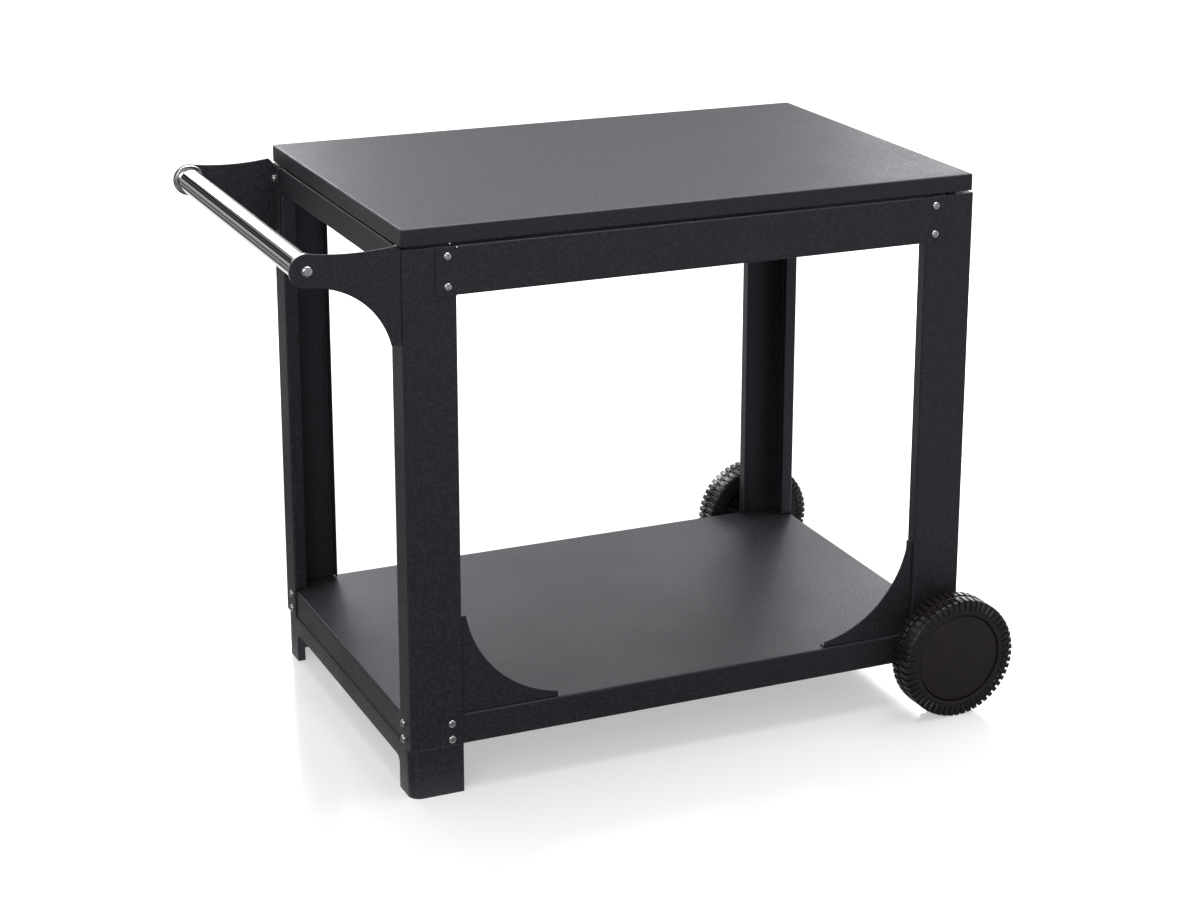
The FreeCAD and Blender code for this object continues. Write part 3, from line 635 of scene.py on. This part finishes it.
def wheel_outline(s):
    """Half section of a wheel's drum, web and hub, as (radius, distance from the inner face)."""
    tread = WHEEL_RADIUS - s.lug_height
    low, high = s.sidewall, WHEEL_WIDTH - s.sidewall
    middle, half = WHEEL_WIDTH / 2, s.tread_rib / 2
    web_low, web_high = s.web_depth, s.web_depth + s.web_thickness
    hub_top = web_high + s.hub_step
    return [
        (BUSH_RADIUS, s.hub_inset), (s.hub_radius, s.hub_inset), (s.hub_radius, web_low),
        (s.inner_bore, web_low), (s.inner_bore, low),
        *quarter_round((tread - s.shoulder, low + s.shoulder), s.shoulder, -90),
        (tread, middle - half), (tread + s.tread_rib_height, middle - half),
        (tread + s.tread_rib_height, middle + half), (tread, middle + half),
        *quarter_round((tread - s.shoulder, high - s.shoulder), s.shoulder, 0),
        (s.cap_bore, high), (s.cap_bore, web_high),
        (s.hub_radius, web_high), (s.hub_radius, hub_top), (BUSH_RADIUS, hub_top),
        (BUSH_RADIUS, s.hub_inset),
    ]


def lug_row(s, name, low, high, outer_end, first_angle):
    """Row of lugs copied round the axle: blocks narrowed towards their ribs, with broad rounds outside."""
    lug = block(name, (s.rib_end, -s.lug_width / 2, low), (WHEEL_RADIUS, s.lug_width / 2, high))
    edit()
    select_verts(lug, lambda p: p.x < s.rib_end + PICK_REACH)
    bpy.ops.transform.resize(value=(1, s.lug_foot / s.lug_width, 1))
    select_verts(lug, lambda p: p.x > WHEEL_RADIUS - PICK_REACH and abs(p.z - outer_end) < PICK_REACH)
    bpy.ops.mesh.bevel(offset=s.shoulder, segments=LUG_ROUND_STEPS, affect="EDGES")
    done()
    round_edges(lug, s.lug_round, 1)
    lay(lug, (0, 0, 0), (0, 0, first_angle))
    ring_of(lug, s.lug_count)
    return lug


def wheel_spokes(s):
    """Spokes between hub and drum, on the web's inner side."""
    tread = WHEEL_RADIUS - s.lug_height
    spokes = block("spokes", (s.hub_radius - JOIN_OVERLAP, -s.spoke_thickness / 2, 2 * s.hub_inset),
                   ((s.inner_bore + tread) / 2, s.spoke_thickness / 2, s.web_depth + JOIN_OVERLAP))
    round_edges(spokes, s.edge_round, 1)
    ring_of(spokes, s.spoke_count)
    return spokes


class CART_OT_wheels(Operator):
    """Moulded wheels with two rows of lugs, a tread rib, web, hub and spokes"""

    bl_idname = "cart.wheels"
    bl_label = "Wheels"

    def execute(self, context):
        s = context.scene.cart_wheel
        wheel = turned("moulded_wheel_front", wheel_outline(s), STEPS_PER_LUG * s.lug_count)
        round_edges(wheel, s.edge_round)
        row = (WHEEL_WIDTH - s.row_gap) / 2
        half_pitch = math.pi / s.lug_count
        inner_row = lug_row(s, "inner_lugs", 0, row, 0, 0)
        outer_row = lug_row(s, "outer_lugs", WHEEL_WIDTH - row, WHEEL_WIDTH, WHEEL_WIDTH, half_pitch)
        join_solid(wheel, inner_row, outer_row, wheel_spokes(s))
        lay(wheel, WHEEL_INNER_FACE, (math.pi / 2, 0, 0))
        rear = rear_copy(wheel, "moulded_wheel_rear")
        for piece, body, node in ((wheel, "front_wheel", "wheel_front"), (rear, "rear_wheel", "wheel_rear")):
            shade(piece)
            dress(piece, "wheel_plastic", body, node)
        return {"FINISHED"}


class CART_OT_hub_caps(Operator):
    """Flat discs with rounded rims in the wheels' outer faces"""

    bl_idname = "cart.hub_caps"
    bl_label = "Hub caps"

    def execute(self, context):
        s = context.scene.cart_wheel
        radius = s.cap_bore - s.cap_gap
        face = WHEEL_WIDTH - s.sidewall - s.cap_recess
        back = face - s.cap_thickness
        web = s.web_depth + s.web_thickness
        inner = radius - s.cap_skirt
        outline = [(0, back), (inner, back), (inner, web), (radius, web),
                   *quarter_round((radius - s.cap_gap, face - s.cap_gap), s.cap_gap, 0), (0, face)]
        cap = turned("moulded_cap_front", outline, CAP_STEPS)
        lay(cap, WHEEL_INNER_FACE, (math.pi / 2, 0, 0))
        rear = rear_copy(cap, "moulded_cap_rear")
        for piece, body, node in ((cap, "front_wheel", "hub_cap_front"),
                                  (rear, "rear_wheel", "hub_cap_rear")):
            shade(piece)
            dress(piece, "cap_plastic", body, node)
        return {"FINISHED"}


class CART_OT_axle(Operator):
    """Finishes of the axle and of what sits on it"""

    bl_idname = "cart.axle"
    bl_label = "Axle"

    def execute(self, context):
        finish_nodes("bright_steel", "axle")
        finish_nodes("zinc_steel", "axle_washers", "axle_push_nuts")
        finish_nodes("black_nylon", "axle_spacer_front", "axle_spacer_rear", "wheel_bush_front",
                     "wheel_bush_rear")
        return {"FINISHED"}


class CART_OT_fasteners(Operator):
    """Finishes of the screws, nuts, rivets and spacers"""

    bl_idname = "cart.fasteners"
    bl_label = "Fasteners"

    def execute(self, context):
        for group in ("apron", "handle_bracket", "end_apron", "shelf", "top", "skirt"):
            finish_nodes("zinc_steel", group + "_screws", group + "_nuts")
        finish_nodes("zinc_steel", "bar_screws")
        finish_nodes("black_rivet", "gusset_rivets")
        finish_nodes("black_nylon", "top_spacers")
        return {"FINISHED"}


# Levels that shiny surfaces reflect: of the room past the handle end by the ray's rise, and, as painted glow
# on the floor that only reflections see, of the floor behind the cart and under it by X in metres, and of the
# floor before it by a measure in metres that grows to the right and to the front. In the room they are the
# dark flags, and the grey and white between them; on the floor they are painted reflection: dark bands, and a
# grey and white glow between them.
FLAGS = ((-0.03, 0.38), (0.05, 0.5), (0.075, 0.0), (0.125, 0.0), (0.14, 0.1), (0.2, 0.1), (0.215, 0.0),
         (0.25, 0.0), (0.265, 0.26), (0.317, 0.28), (0.335, 0.9))
PAINTED_GLOW_BEHIND = ((-7.0, 0.38), (-5.0, 0.3), (-3.2, 0.03), (-2.5, 0.03), (-1.9, 0.22), (-1.35, 0.22),
                (-1.22, 0.0), (-0.95, 0.0), (-0.85, 0.15), (-0.72, 0.8))
PAINTED_GLOW_UNDER = ((-1.25, 0.2), (-1.05, 0.02), (-0.46, 0.02), (-0.38, 0.8), (-0.1, 0.25), (0.7, 0.25),
               (0.9, 0.95))
PAINTED_GLOW_AHEAD = ((0.5, 0.02), (1.0, 0.2), (1.4, 0.28))

# Where the floor before the cart gives way to the floor under it, and that to the floor behind it, in Y, the
# direction of the measure above, and the distances from the floor's middle between which it fades to white.
UNDER_FROM = (-0.4, -0.3)
BEHIND_FROM = (1.3, 1.6)
AHEAD_WAY = (1, -0.4, 0)
FLOOR_FADE = (0.9, 2.2)
FLOOR_ROUGHNESS = (0.1, 0.2)
FLOOR_IOR = 1.75

# The room's levels in reflections, from the front to the back over a span of the ray's Y, its level as light,
# and the spans of the ray's X and Y in which the flags take over.
ROOM_LEVELS = (0.36, 0.7)
ROOM_DEPTH = (-0.6, 0.5)
ROOM_LIGHT = 0.6
FLAGS_LEFT = (-0.06, -0.16)
FLAGS_ALONG_BAR = (0.6, 0.75)

# Lamps: name, setting that holds the power, width and height, place and aim, in metres.
LAMPS = (
    ("overhead", "key_power", (2.8, 2.8), (0.5, 0.3, 3.1), (0.1, 0.0, 0.3)),
    ("behind_left", "left_power", (1.3, 1.3), (-0.28, 2.9, 1.6), (0.0, 0.0, 0.5)),
    ("behind_right", "right_power", (1.2, 1.9), (2.75, 2.8, 1.25), (0.2, 0.0, 0.4)),
    ("behind_shelf", "shelf_power", (1.7, 0.26), (0.6, 1.3, 0.68), (0.0, 0.0, 0.3)),
    ("camera_left", "fill_power", (1.6, 1.6), (-2.4, -2.8, 2.0), (0.0, 0.0, 0.4)),
)
SENSOR_WIDTH = 36


def levels_along(tree, value, levels):
    """Grey level that follows a value, from pairs of value and level in rising order."""
    first, last = levels[0][0], levels[-1][0]
    along = add_node(tree, "ShaderNodeMapRange", None, {"Value": value, "From Min": first, "From Max": last})
    ramp = add_node(tree, "ShaderNodeValToRGB", None, {"Fac": along.outputs["Result"]})
    stops = ramp.color_ramp.elements
    while len(stops) < len(levels):
        stops.new(1.0)
    for stop, (place, level) in zip(stops, levels):
        stop.position = (place - first) / (last - first)
        stop.color = (level, level, level, 1)
    return ramp.outputs["Color"]


def passing(tree, value, span):
    """Share that grows from 0 to 1 while a value passes a span."""
    share = add_node(tree, "ShaderNodeMapRange", None,
                     {"Value": value, "From Min": span[0], "From Max": span[1]})
    return share.outputs["Result"]


def floor_material(stage):
    """Pale painted studio floor, a little glossy.

    The camera sees it fade to white. Reflections see it in a darker painted colour, glowing at the painted
    levels
    above: a painted reflection, not its own paint.
    """
    material, tree, shader, place = new_material("studio floor, pale satin paint")
    mottle = add_node(tree, "ShaderNodeTexNoise", None, {"Vector": place, "Scale": per_metre(300)})
    gloss = add_node(tree, "ShaderNodeMapRange", None,
                     {"Value": mottle.outputs["Fac"], "To Min": FLOOR_ROUGHNESS[0],
                      "To Max": FLOOR_ROUGHNESS[1]})
    rays = add_node(tree, "ShaderNodeLightPath")
    # Painted shade: glossy rays see the floor in the dark colour instead of its pale paint.
    skin = add_node(tree, "ShaderNodeMix", {"data_type": "RGBA"},
                    {"Factor": rays.outputs["Is Glossy Ray"], "A": stage.floor_colour,
                     "B": stage.floor_painted_shade})
    distance = add_node(tree, "ShaderNodeVectorMath", {"operation": "LENGTH"}, {0: place})
    lift = add_node(tree, "ShaderNodeMapRange", {"interpolation_type": "SMOOTHSTEP"},
                    {"Value": distance.outputs["Value"], "From Min": FLOOR_FADE[0],
                     "From Max": FLOOR_FADE[1], "To Min": stage.floor_lift, "To Max": 1.0})
    parts = add_node(tree, "ShaderNodeSeparateXYZ", None, {"Vector": place})
    away = add_node(tree, "ShaderNodeVectorMath", {"operation": "DOT_PRODUCT"}, {0: place, 1: AHEAD_WAY})
    near = add_node(tree, "ShaderNodeMix", {"data_type": "FLOAT"},
                    {"Factor": passing(tree, parts.outputs["Y"], UNDER_FROM),
                     "A": levels_along(tree, away.outputs["Value"], PAINTED_GLOW_AHEAD),
                     "B": levels_along(tree, parts.outputs["X"], PAINTED_GLOW_UNDER)})
    level = add_node(tree, "ShaderNodeMix", {"data_type": "FLOAT"},
                     {"Factor": passing(tree, parts.outputs["Y"], BEHIND_FROM), "A": near.outputs["Result"],
                      "B": levels_along(tree, parts.outputs["X"], PAINTED_GLOW_BEHIND)})
    # Painted reflection: only glossy rays see the floor glow at these levels.
    reflected = add_node(tree, "ShaderNodeMath", {"operation": "MULTIPLY"},
                         {0: rays.outputs["Is Glossy Ray"], 1: level.outputs["Result"]})
    seen = add_node(tree, "ShaderNodeMath", {"operation": "MULTIPLY_ADD"},
                    {0: rays.outputs["Is Camera Ray"], 1: lift.outputs["Result"],
                     2: reflected.outputs["Value"]})
    shader.inputs["Emission Color"].default_value = (1, 1, 1, 1)
    shader.inputs["IOR"].default_value = FLOOR_IOR
    tree.links.new(skin.outputs["Result"], shader.inputs["Base Color"])
    tree.links.new(gloss.outputs["Result"], shader.inputs["Roughness"])
    tree.links.new(seen.outputs["Value"], shader.inputs["Emission Strength"])
    return material


def studio_world(scene):
    """White for the camera, and even as light. Reflections see a pale room that is darker at the front.

    Dark flags stand low behind the handle end and before it, and draw the black stripes on the chrome.
    """
    world = bpy.data.worlds.new("white studio")
    scene.world = world
    world.use_nodes = True
    tree = world.node_tree
    tree.nodes.clear()
    way = add_node(tree, "ShaderNodeTexCoord").outputs["Generated"]
    parts = add_node(tree, "ShaderNodeSeparateXYZ", None, {"Vector": way})
    depth = add_node(tree, "ShaderNodeMapRange", {"interpolation_type": "SMOOTHSTEP"},
                     {"Value": parts.outputs["Y"], "From Min": ROOM_DEPTH[0], "From Max": ROOM_DEPTH[1],
                      "To Min": ROOM_LEVELS[0], "To Max": ROOM_LEVELS[1]})
    flags = levels_along(tree, parts.outputs["Z"], FLAGS)
    along_bar = add_node(tree, "ShaderNodeMath", {"operation": "ABSOLUTE"}, {0: parts.outputs["Y"]})
    corner = add_node(tree, "ShaderNodeMath", {"operation": "MULTIPLY"},
                      {0: passing(tree, parts.outputs["X"], FLAGS_LEFT),
                       1: passing(tree, along_bar.outputs["Value"], FLAGS_ALONG_BAR)})
    room = add_node(tree, "ShaderNodeMix", {"data_type": "FLOAT"},
                    {"Factor": corner.outputs["Value"], "A": depth.outputs["Result"], "B": flags})
    rays = add_node(tree, "ShaderNodeLightPath")
    glow = add_node(tree, "ShaderNodeMix", {"data_type": "FLOAT"},
                    {"Factor": rays.outputs["Is Diffuse Ray"], "A": room.outputs["Result"], "B": ROOM_LIGHT})
    seen = add_node(tree, "ShaderNodeMath", {"operation": "MAXIMUM"},
                    {0: glow.outputs["Result"], 1: rays.outputs["Is Camera Ray"]})
    light = add_node(tree, "ShaderNodeBackground", None, {"Strength": seen.outputs["Value"]})
    add_node(tree, "ShaderNodeOutputWorld", None, {"Surface": light.outputs["Background"]})


def soft_lamp(name, power, size, place, aim):
    """Area lamp of a width and height that points at a spot."""
    data = bpy.data.lights.new(name, "AREA")
    data.energy = power
    data.shape = "RECTANGLE"
    data.size, data.size_y = size
    lamp = bpy.data.objects.new(name, data)
    lamp.location = place
    lamp.rotation_mode = "QUATERNION"
    lamp.rotation_quaternion = (Vector(aim) - Vector(place)).to_track_quat("-Z", "Y")
    lamp.visible_camera = False
    bpy.context.scene.collection.objects.link(lamp)


class CART_OT_stage(Operator):
    """Floor, soft lamps, white surroundings and the camera"""

    bl_idname = "cart.stage"
    bl_label = "Stage"

    def execute(self, context):
        scene = context.scene
        stage = scene.cart_stage
        clear_selection()
        bpy.ops.mesh.primitive_plane_add(size=stage.floor_size)
        floor = context.object
        floor.name = "studio_floor"
        floor.data.materials.append(floor_material(stage))
        studio_world(scene)
        for name, power, size, place, aim in LAMPS:
            soft_lamp(name, getattr(stage, power), size, place, aim)
        data = bpy.data.cameras.new("camera")
        data.lens = stage.lens
        data.sensor_width = SENSOR_WIDTH
        data.shift_x, data.shift_y = stage.shift
        camera = bpy.data.objects.new("camera", data)
        camera.location = stage.place
        camera.rotation_euler = stage.turn
        scene.collection.objects.link(camera)
        scene.camera = camera
        scene.view_settings.view_transform = "Standard"
        return {"FINISHED"}


PIECES = ("table_top", "legs", "aprons", "shelf", "handle_brackets", "handle_bar", "wheels", "hub_caps",
          "axle", "fasteners")


class CART_PT_pieces(Panel):
    """Buttons of the cart's pieces and stage"""

    bl_label = "Grill cart"
    bl_idname = "CART_PT_pieces"
    bl_space_type = "VIEW_3D"
    bl_region_type = "UI"
    bl_category = "Cart"

    def draw(self, context):
        for name in PIECES + ("stage",):
            self.layout.operator("cart." + name)


GROUPS = {
    "cart_wheel": CartWheelSizes,
    "cart_handle": CartHandleSizes,
    "cart_colours": CartColours,
    "cart_stage": CartStageSettings,
}
CLASSES = (CART_OT_table_top, CART_OT_legs, CART_OT_aprons, CART_OT_shelf, CART_OT_handle_brackets,
           CART_OT_handle_bar, CART_OT_wheels, CART_OT_hub_caps, CART_OT_axle, CART_OT_fasteners,
           CART_OT_stage, CART_PT_pieces)


def register():
    for name, group in GROUPS.items():
        bpy.utils.register_class(group)
        setattr(bpy.types.Scene, name, PointerProperty(type=group))
    for cls in CLASSES:
        bpy.utils.register_class(cls)


def unregister():
    for cls in reversed(CLASSES):
        bpy.utils.unregister_class(cls)
    for name, group in GROUPS.items():
        delattr(bpy.types.Scene, name)
        bpy.utils.unregister_class(group)


def main():
    register()
    for name in PIECES + ("stage",):
        getattr(bpy.ops.cart, name)()


if __name__ == "__main__":
    main()
